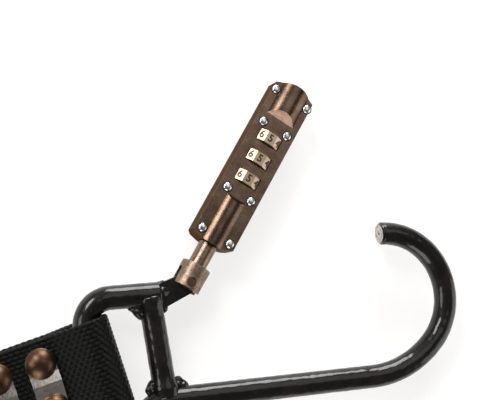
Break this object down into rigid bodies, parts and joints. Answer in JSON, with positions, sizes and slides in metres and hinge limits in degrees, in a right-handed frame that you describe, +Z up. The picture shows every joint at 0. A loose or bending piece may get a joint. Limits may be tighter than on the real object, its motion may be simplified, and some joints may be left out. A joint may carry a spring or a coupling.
{
  "type": "luggage strap",
  "caption": "Webbing luggage strap with a welded steel hook whose mouth is closed by a swinging, sliding combination lock.",
  "frame": {"origin": "on the ground, under the middle of the part's box", "axes": "+X along the hook's bottom bar towards the hook's bend, +Z up from the ground, away from the lock's back"},
  "size_m": [0.423, 0.2044, 0.066],
  "materials": {
    "black_steel": "black textured powder coat",
    "black_weld": "rough black powder coat over weld",
    "pin_steel": "bare steel",
    "bronze_steel": "satin bronze plating",
    "spring_steel": "bare spring steel",
    "gunmetal": "dark bronze, satin",
    "silver_rivet": "bright nickel",
    "brass": "plain brass",
    "wheel_steel": "satin plating, dark figures",
    "webbing": "heavy plain-woven polyester",
    "clamp_steel": "polished plate",
    "bronze_rivet": "antique bronze, polished"
  },
  "bodies": {
    "hook_frame": {"hook_rod": "black_steel", "cross_bar": "black_steel", "weld_beads": "black_weld", "pivot_tang": "black_steel"},
    "swivel": {"pivot_pin": "pin_steel", "pivot_collar": "bronze_steel", "plunger_rod": "bronze_steel", "plunger_clip": "spring_steel"},
    "lock_case": {"rear_case": "gunmetal", "front_cover": "gunmetal", "cover_rivets": "silver_rivet", "plunger_bush": "brass", "socket_liner": "pin_steel", "detent_spring": "spring_steel"},
    "wheel_1": {"number_wheel_1": "wheel_steel", "wheel_hub_1": "brass"},
    "wheel_2": {"number_wheel_2": "wheel_steel", "wheel_hub_2": "brass"},
    "wheel_3": {"number_wheel_3": "wheel_steel", "wheel_hub_3": "brass"},
    "strap": {"webbing_loop": "webbing", "webbing_run": "webbing", "webbing_roll": "webbing", "webbing_tail": "webbing", "clamp_plates_front": "clamp_steel", "clamp_plates_back": "clamp_steel", "clamp_rivets": "bronze_rivet", "end_plates_front": "clamp_steel", "end_plates_back": "clamp_steel", "end_rivets": "bronze_rivet"},
    "end_ring": {"end_ring": "black_steel"}
  },
  "joints": [
    {"name": "lock_swing", "type": "hinge", "parent": "hook_frame", "child": "swivel", "pos_m": [0.08792, 0.01974, 0.0104], "axis": [0, 0, 1], "range_deg": [-35, 50]},
    {"name": "lock_slide", "type": "slide", "parent": "swivel", "child": "lock_case", "axis": [0.5678, 0.8231, 0], "range_m": [-0.009, 0]},
    {"name": "wheel_1_turn", "type": "hinge", "parent": "lock_case", "child": "wheel_1", "pos_m": [0.11631, 0.0609, 0.0104], "axis": [0.5678, 0.8231, 0], "continuous": true},
    {"name": "wheel_2_turn", "type": "hinge", "parent": "lock_case", "child": "wheel_2", "pos_m": [0.12199, 0.06913, 0.0104], "axis": [0.5678, 0.8231, 0], "continuous": true},
    {"name": "wheel_3_turn", "type": "hinge", "parent": "lock_case", "child": "wheel_3", "pos_m": [0.12767, 0.07736, 0.0104], "axis": [0.5678, 0.8231, 0], "continuous": true},
    {"name": "strap_swing", "type": "hinge", "parent": "hook_frame", "child": "strap", "pos_m": [0.04765, -0.01127, 0.0104], "axis": [0.2419, -0.9703, 0], "range_deg": [-75, 75]},
    {"name": "end_ring_swing", "type": "hinge", "parent": "strap", "child": "end_ring", "pos_m": [-0.17358, -0.06642, 0.0075], "axis": [0.2419, -0.9703, 0], "range_deg": [-60, 60]}
  ]
}
